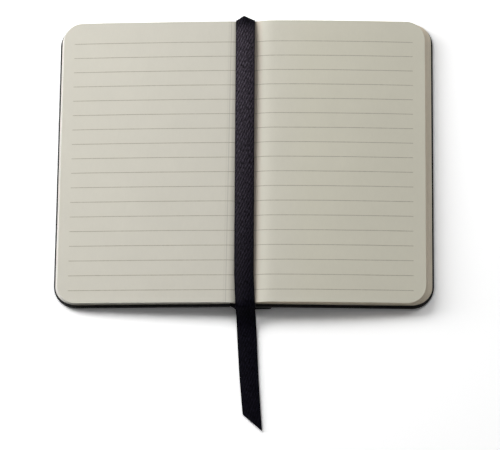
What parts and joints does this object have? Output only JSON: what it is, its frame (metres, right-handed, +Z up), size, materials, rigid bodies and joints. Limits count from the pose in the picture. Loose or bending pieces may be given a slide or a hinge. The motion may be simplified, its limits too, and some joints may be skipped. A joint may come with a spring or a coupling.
{
  "type": "open pocket notebook",
  "caption": "Pocket notebook lying open, with hard black leatherette covers, round-cornered cream ruled pages and a flat woven ribbon marker in the gutter.",
  "frame": {"origin": "on the table under the middle of the spine strip, half way between the head and the tail of the pages", "axes": "+Z up out of the open pages, +Y to the head of the pages, +X to the right-hand page"},
  "size_m": [0.1823, 0.204, 0.0104],
  "materials": {
    "pages": "matte",
    "ink": "matte",
    "thread": "matte",
    "lining": "matte",
    "ribbon": "satin",
    "leatherette": "satin",
    "cover": "satin",
    "endpaper": "matte"
  },
  "bodies": {
    "book": {"page_block": "pages", "ruled_lines": "ink", "sewing_thread": "thread", "spine_lining": "lining", "ribbon_marker": "ribbon", "spine_strip": "leatherette"},
    "front_board": {"front_cover": "cover", "front_pastedown": "endpaper"},
    "back_board": {"back_cover": "cover", "back_pastedown": "endpaper", "rear_joint": "leatherette"}
  },
  "joints": [
    {"name": "front_cover_hinge", "type": "hinge", "parent": "book", "child": "front_board", "pos_m": [-0.0066, 0, 0.00447], "axis": [0, -1, 0], "range_deg": [0, 90]},
    {"name": "back_cover_hinge", "type": "hinge", "parent": "book", "child": "back_board", "pos_m": [0.0051, 0, 0], "axis": [0, 1, 0], "range_deg": [0, 90]}
  ]
}
